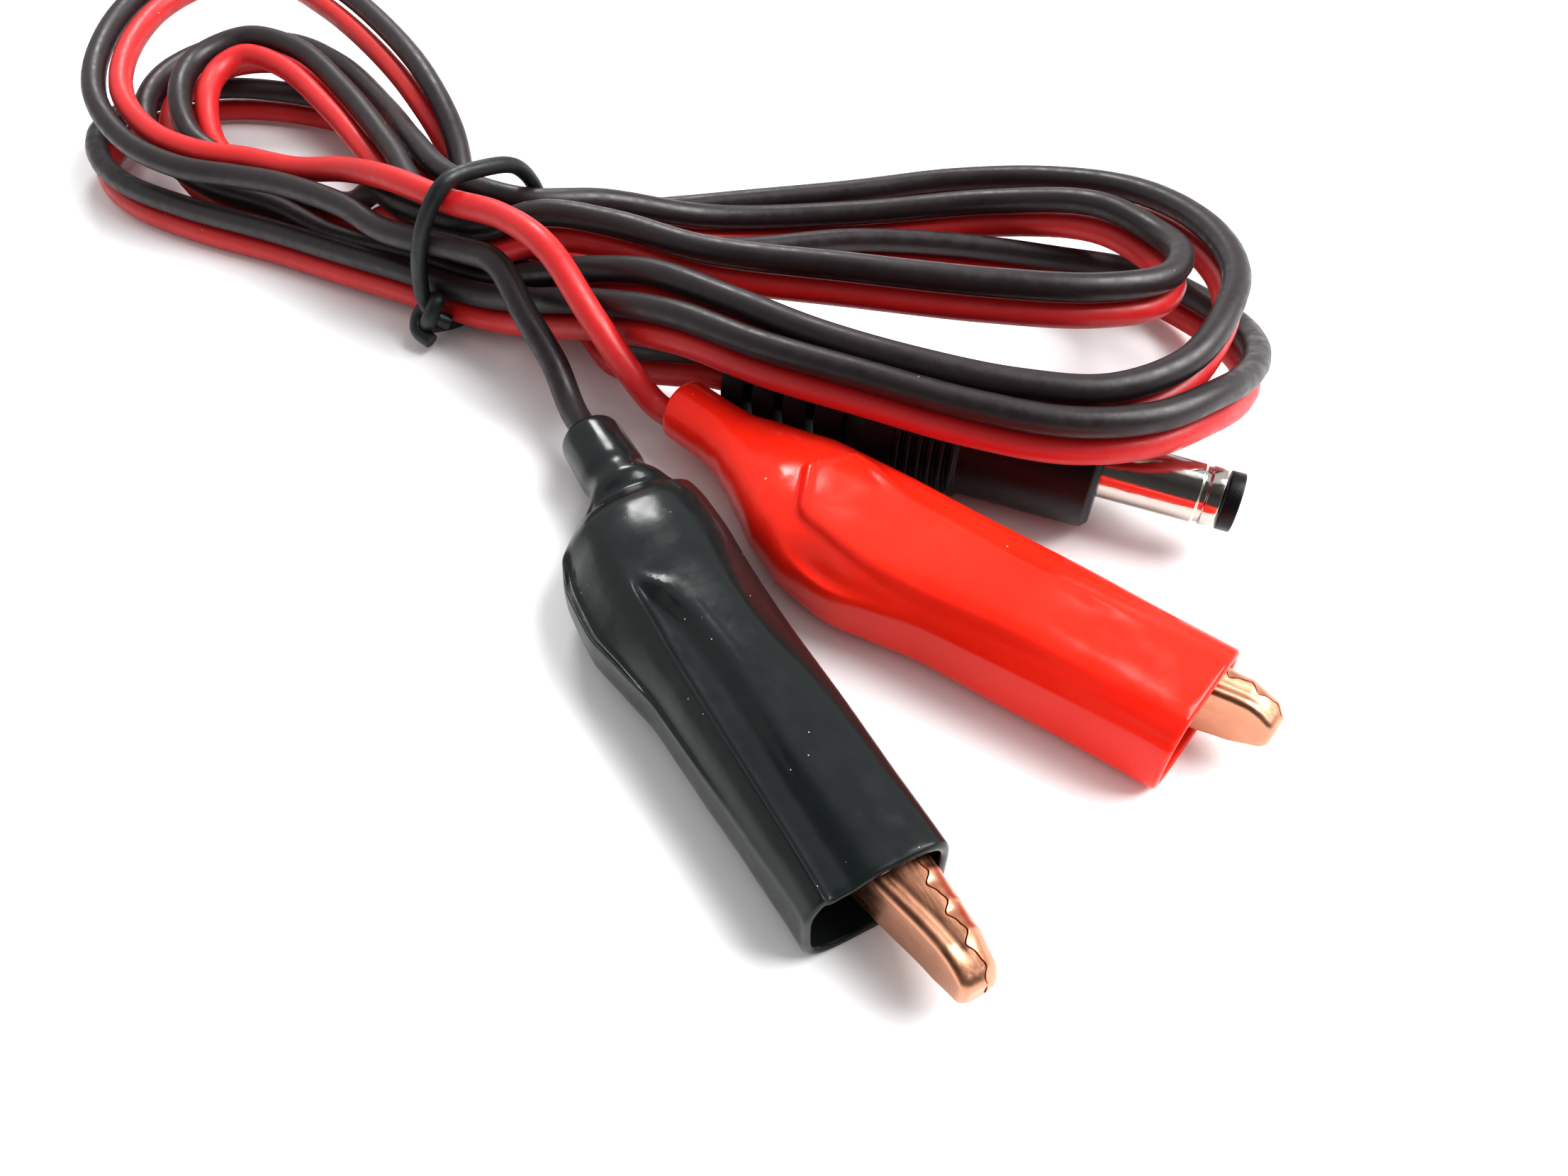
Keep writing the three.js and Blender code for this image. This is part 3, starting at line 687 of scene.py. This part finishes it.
def boot_rings(name):
    lip = 0.4
    end = BOOT_LENGTH - lip
    rings = [boot_ring(name, 0.6 * (1 - math.cos(a)), 0.6 * (1 - math.sin(a))) for a in (0.0, 0.4, 0.8, 1.2)]
    steps = 150
    rings += [boot_ring(name, 0.7 + (end - 0.7) * k / steps, 0.0) for k in range(steps + 1)]
    for k in range(1, 8):
        a = math.pi * k / 8
        ring = boot_ring(name, end, lip * (1 - math.cos(a)))
        rings.append([p + Vector((lip * math.sin(a) * MM, 0, 0)) for p in ring])
    for k in range(60):
        u = end - (end - 0.6) * k / 59
        rings.append(boot_ring(name, u, along(BOOT_SECTIONS[name], u)[5]))
    return rings


def skin(name, rings, closed=True):
    """A mesh through rings of the same number of points; closed joins the last ring to the first."""
    mesh = bmesh.new()
    made = [[mesh.verts.new(p) for p in ring] for ring in rings]
    pairs = list(zip(made, made[1:] + made[:1] if closed else made[1:]))
    for one, other in pairs:
        for i in range(len(one)):
            j = (i + 1) % len(one)
            mesh.faces.new((one[i], one[j], other[j], other[i]))
    bmesh.ops.recalc_face_normals(mesh, faces=mesh.faces)
    data = bpy.data.meshes.new(name)
    mesh.to_mesh(data)
    mesh.free()
    data.shade_smooth()
    thing = bpy.data.objects.new(name, data)
    bpy.context.scene.collection.objects.link(thing)
    return thing


for name, finish in (("black", black_vinyl), ("red", red_vinyl)):
    boot = skin(f"{name}_sleeve", boot_rings(name))
    boot.matrix_world = clip_place(name)
    boot.data.materials.append(finish.material)
    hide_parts(f"{name}_boot")
    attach(boot, "lead")
    print(boot.name, "faces", len(boot.data.polygons))

# %% [markdown]
# ## The jaws
# A jaw is a channel folded from one copper-plated sheet, so its long outer edges are rolled and its teeth
# are cut. In front of the pivot it is swept here section by section, which rounds the folds and the teeth
# as the press does. Behind the pivot the frame's own shape is right, so that half of its mesh is copied.

# %% Jaw outlines: u and the v of the fold, in the clip's own directions
SEAM = 3.0
SEAM_GAP = 0.03
TOOTH_PITCH = 2.35
NOSE = 64.2
NOSE_ROUND = 0.7
SHEET = 0.5
WEB = 0.65
HALF_WIDTH = 2.8
JOIN = 48.4
FOLD_RADIUS = {"fixed_jaw": 1.3, "moving_jaw": 0.6}
FOLDS = {
    "fixed_jaw": [(46, 4.5), (58, 4.6), (61, 4.55), (63, 4.4), (64.2, 4.1)],
    "moving_jaw": [(46, -2.55), (50, -1.65), (55.5, -0.4), (61, 0.8), (63, 1.05), (64.2, 1.1)],
}


def seam_at(u):
    """v of the toothed line where the closed jaws meet."""
    turn = (u - 50.0) * 2 * math.pi / TOOTH_PITCH
    wave = -0.27 * math.sin(turn + 1.2) - 0.09 * math.sin(2 * turn + 1.9)
    return SEAM + wave * smoothstep(48.6, 49.6, u) * (1 - smoothstep(63.4, 64.4, u))


def jaw_section(part, u):
    """The channel's outline at u: over the upper sheet, round the fold, and back along the inside."""
    side = 1 if part == "fixed_jaw" else -1
    seam = seam_at(u) + side * SEAM_GAP
    fold = along(FOLDS[part], u)[0]
    end = max(0.0, (u - NOSE + NOSE_ROUND) / NOSE_ROUND)
    trim = 0.55 * (1 - math.sqrt(max(1 - end * end, 0.0)))
    depth = max(max((fold - seam) * side, 0.3) - trim, 0.25)
    half = HALF_WIDTH - 1.7 * smoothstep(61.2, 65.6, u) - trim
    corner = min(FOLD_RADIUS[part], depth * 0.9)
    bead = 0.17 * (1 - smoothstep(61.5, 63.0, u)) if side < 0 else 0.0
    outer = [(0.0, half - 0.09), (0.05, half)]
    for k, (inward, fall) in enumerate([(1.2, 0.0), (0.9, 0.6), (0.65, 1.0), (0.4, 0.6), (0.15, 0.0)]):
        outer.append((max(depth - corner - inward, 0.06 + 0.01 * k), half - bead * fall))
    for k in range(9):
        a = math.pi / 2 * k / 8
        outer.append((depth - corner * (1 - math.sin(a)), half - corner * (1 - math.cos(a))))
    hollow = max(depth - WEB, 0.08) if u < 63.0 else 0.08
    wall = half - SHEET
    inner = [(hollow, wall - 0.25), (max(hollow - 0.25, 0.07), wall), (0.06, wall), (0.0, wall + 0.1)]
    if side > 0:
        outer = [(d, w - 0.55 * d / depth) for d, w in outer]
    lower = 1 - 0.3 * smoothstep(57.0, 64.5, u)
    under = [(d, -w * lower) for d, w in [*reversed(outer), *reversed(inner)]]
    return [Vector((u, seam + side * d, w)) * MM for d, w in [*outer, *under, *inner]]


def pressed_jaw(clip, part):
    place = clip_place(clip) @ Matrix.Translation(Vector((*CLIPS[clip]["slide"], 0)) * MM)
    rear = bmesh.new()
    rear.from_mesh(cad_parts[f"{clip}_{part}"].data)
    bmesh.ops.remove_doubles(rear, verts=rear.verts, dist=0.002 * MM)
    rear.transform(place.inverted())
    whole = [*rear.verts, *rear.edges, *rear.faces]
    cut = bmesh.ops.bisect_plane(
        rear, geom=whole, plane_co=(JOIN * MM, 0, 0), plane_no=(1, 0, 0), clear_outer=True
    )
    bmesh.ops.holes_fill(rear, edges=[e for e in cut["geom_cut"] if isinstance(e, bmesh.types.BMEdge)])
    steps = 150
    first = JOIN - 0.2
    stations = [first + (NOSE - first) * k / steps for k in range(steps)]
    stations += [NOSE - 0.05, NOSE - 0.02, NOSE]
    rings = [jaw_section(part, u) for u in stations]
    made = [[rear.verts.new(p) for p in ring] for ring in rings]
    for one, other in zip(made, made[1:]):
        for k in range(len(one)):
            j = (k + 1) % len(one)
            rear.faces.new((one[k], one[j], other[j], other[k]))
    for ring in (made[0], made[-1]):
        rear.faces.new(ring)
    bmesh.ops.recalc_face_normals(rear, faces=rear.faces)
    bmesh.ops.triangulate(rear, faces=[f for f in rear.faces if len(f.verts) > 4])
    data = bpy.data.meshes.new(f"{clip}_{part}_pressed")
    rear.to_mesh(data)
    rear.free()
    data.shade_smooth()
    jaw = bpy.data.objects.new(data.name, data)
    bpy.context.scene.collection.objects.link(jaw)
    jaw.matrix_world = place
    crisp = jaw.modifiers.new("edges", "EDGE_SPLIT")
    crisp.split_angle = math.radians(55)
    data.materials.append(copper.material)
    return jaw


for name in ("black", "red"):
    for part, body in (("fixed_jaw", "lead"), ("moving_jaw", f"{name}_lever")):
        jaw = pressed_jaw(name, part)
        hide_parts(f"{name}_{part}")
        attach(jaw, body)
        print(jaw.name, "faces", len(jaw.data.polygons))

# %% [markdown]
# ## The plug
# Everything on the plug is round about one axis, so each piece is a profile turned about it. The profile
# is a list of distances from the cable's end and radii, with close points where an edge is rounded.

# %% Turned pieces
PLUG_PLACE = Matrix.Translation((Vector((-4.5, 89.3, 6.4)) + TO_ORIGIN) * MM) @ Matrix.Rotation(
    math.radians(-22.4), 4, "Z"
)


def turned(name, profile, around=96, closed=False):
    rings = []
    for u, radius in profile:
        turns = [2 * math.pi * i / around for i in range(around)]
        rings.append([Vector((u, radius * math.cos(t), radius * math.sin(t))) * MM for t in turns])
    thing = skin(name, rings, closed)
    thing.matrix_world = PLUG_PLACE
    crisp = thing.modifiers.new("edges", "EDGE_SPLIT")
    crisp.split_angle = math.radians(38)
    return thing


def rounded(corners, radius, steps=3):
    """The same profile with each inner corner replaced by a small arc."""
    points = [Vector(corners[0])]
    for before, corner, after in zip(corners, corners[1:], corners[2:]):
        corner = Vector(corner)
        a, b = Vector(before) - corner, Vector(after) - corner
        reach = min(radius, a.length * 0.45, b.length * 0.45)
        first, last = corner + a.normalized() * reach, corner + b.normalized() * reach
        for k in range(steps + 1):
            t = k / steps
            points.append(first * (1 - t) ** 2 + corner * (2 * t * (1 - t)) + last * t**2)
    return [*points, Vector(corners[-1])]


# %% Strain relief and body
relief = [(0.0, 1.5), (0.0, 4.2)]
for i in range(4):
    start = i * 3.25
    radius = 4.5 + 0.12 * i
    end = start + 3.25 - (0.3 if i == 3 else 0.9)
    relief += [(start + 0.02, radius), (end, radius)]
    if i < 3:
        relief += [(end, 2.9), (start + 3.23, 2.9)]
relief += [(12.7, 1.5)]
body = [(13.0, 1.0), (13.0, 4.7), (15.0, 6.1), (17.6, 6.1)]
for i in range(6):
    start = 18 + i * 1.05
    body += [(start, 5.9), (start + 0.25, 6.4), (start + 0.6, 6.4), (start + 0.85, 5.9)]
body += [(24.7, 5.9), (36.0, 5.8), (36.6, 5.2), (36.6, 3.05), (30.0, 3.05)]
moulded = [
    turned("strain_relief_collars", rounded(relief, 0.22)),
    turned("plug_grip", rounded(body, 0.16)),
]
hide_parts("plug_strain_relief")
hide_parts("plug_body")
for piece in moulded:
    piece.data.materials.append(plug_plastic.material)
    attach(piece, "lead")
print("moulded pieces:", len(moulded))

# %% Barrel and its insulating ring
barrel = [(25.5, 2.3), (25.5, 2.75), (45.1, 2.75), (45.25, 2.6), (45.7, 2.6), (45.85, 2.75), (47.0, 2.75)]
barrel += [(47.0, 2.3), (25.5, 2.3)]
sleeve = turned("barrel_sleeve", rounded(barrel, 0.06))
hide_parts("plug_barrel")
sleeve.data.materials.append(nickel.material)
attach(sleeve, "lead")
ring = [(47.3, 1.35), (47.3, 2.7), (48.6, 2.7), (48.6, 1.35), (47.3, 1.35)]
tip = turned("tip_ring", rounded(ring, 0.15))
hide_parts("plug_tip_insulator")
tip.data.materials.append(plug_plastic.material)
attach(tip, "lead")
print("barrel pieces: 2")

# %% [markdown]
# ## The tie
# A short plastic-covered wire goes once round the hank, and its two ends wind together at the front.

# %% Tie
TIE_MIDDLE = Vector((-34.8, 109.2, 0))
TIE_TURN = Matrix.Rotation(math.radians(-32), 3, "Z")
TIE_ROUTE = [
    (2.8, -7.4, 3.0),
    (1.6, -8.2, 4.0),
    (0.4, -8.0, 5.6),
    (0.3, -7.7, 8.0),
    (0.9, -7.4, 11.0),
    (1.8, -6.2, 14.6),
    (2.8, -3.4, 17.6),
    (3.5, 1.2, 17.2),
    (4.0, 5.6, 15.4),
    (4.2, 7.8, 11.2),
    (3.8, 7.9, 4.4),
    (3.2, 5.6, 1.05),
    (2.0, 0, 1.05),
    (0.9, -5, 1.1),
    (0.2, -7.0, 1.5),
    (0.8, -8.8, 2.8),
    (2.0, -9.0, 4.6),
    (2.1, -7.7, 5.8),
    (0.8, -7.3, 5.0),
    (-0.4, -8.3, 3.6),
    (0.0, -9.6, 2.4),
    (1.8, -9.7, 1.6),
]
tie_line = smooth_line([TIE_MIDDLE + TIE_TURN @ Vector(p) for p in TIE_ROUTE], 10)
tie = wire("wire_tie", tie_line, 0.85)
tie.data.materials.append(tie_skin.material)
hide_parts("cable_tie")
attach(tie, "lead")
print("tie is", round(length_of(tie_line)), "mm long")

# %% [markdown]
# ## Stage
# The lead lies on a matt white sheet under a wide soft light from the right. A small light from behind puts
# one soft patch on each boot's bulge.

# %% Table
bpy.ops.mesh.primitive_plane_add(size=4, location=(0, 0.4, 0))
table = bpy.context.object
table.name = "table"
paper = Finish("white_paper", Roughness=0.55)
fibres = paper.noise(0.6, 4.0, 0.6)
crumbs = paper.specks(0.06, 0.012)
sheet = paper.mix(fibres, (0.86, 0.86, 0.87, 1), (0.89, 0.89, 0.895, 1))
paper.vary(Base_Color=paper.mix(crumbs, sheet, (0.6, 0.55, 0.5, 1)))
paper.bump(fibres, 0.02)
table.data.materials.append(paper.material)
print("stage:", table.name)


# %% Lights
def soft_light(name, place, aim, size, power, colour=(1, 1, 1)):
    data = bpy.data.lights.new(name, "AREA")
    data.shape = "SQUARE"
    data.size = size
    data.energy = power
    data.color = colour
    lamp = bpy.data.objects.new(name, data)
    lamp.location = place
    lamp.rotation_euler = (Vector(aim) - Vector(place)).to_track_quat("-Z", "Y").to_euler()
    bpy.context.scene.collection.objects.link(lamp)


soft_light("ceiling", (0.48, 0.04, 0.62), (0, 0.02, 0), 0.5, 9.0)
soft_light("window", (-0.075, 0.318, 0.256), (-0.021, 0.007, 0.01), 0.09, 0.5)
print("lights:", len(bpy.data.lights))

# %% [markdown]
# The phone that looks down from so near is dark, and glossy things show it: without it the boots' near
# sides would mirror a white room. The card is seen by reflections alone, so it takes no light away.

# %% Phone
CARD_SIZE = (0.3, 0.2, 1, 1)
CARD_OFFSET = (0.02, 0.0, 0.004)
bpy.ops.mesh.primitive_plane_add(size=1)
phone = bpy.context.object
phone.name = "phone"
phone.matrix_world = camera.matrix_basis @ Matrix.Translation(CARD_OFFSET) @ Matrix.Diagonal(CARD_SIZE)
for kind in ("camera", "diffuse", "shadow", "transmission", "volume_scatter"):
    setattr(phone, f"visible_{kind}", False)
case = Finish("phone_case", Roughness=0.4)
case.vary(Base_Color=case.mix(case.noise(0.05), (0.01, 0.01, 0.01, 1), (0.02, 0.02, 0.02, 1)))
phone.data.materials.append(case.material)
print("stage:", phone.name)

# %% [markdown]
# A pale room fills the shadows. The plain view transform keeps the white sheet white and the blacks deep.

# %% Room and view
world = bpy.data.worlds.new("room")
world.use_nodes = True
background = world.node_tree.nodes["Background"].inputs
background["Color"].default_value = (1.0, 0.995, 0.99, 1)
background["Strength"].default_value = 0.62
bpy.context.scene.world = world
bpy.context.scene.view_settings.view_transform = "Standard"
bpy.context.scene.view_settings.look = "Medium High Contrast"
print("world:", world.name)
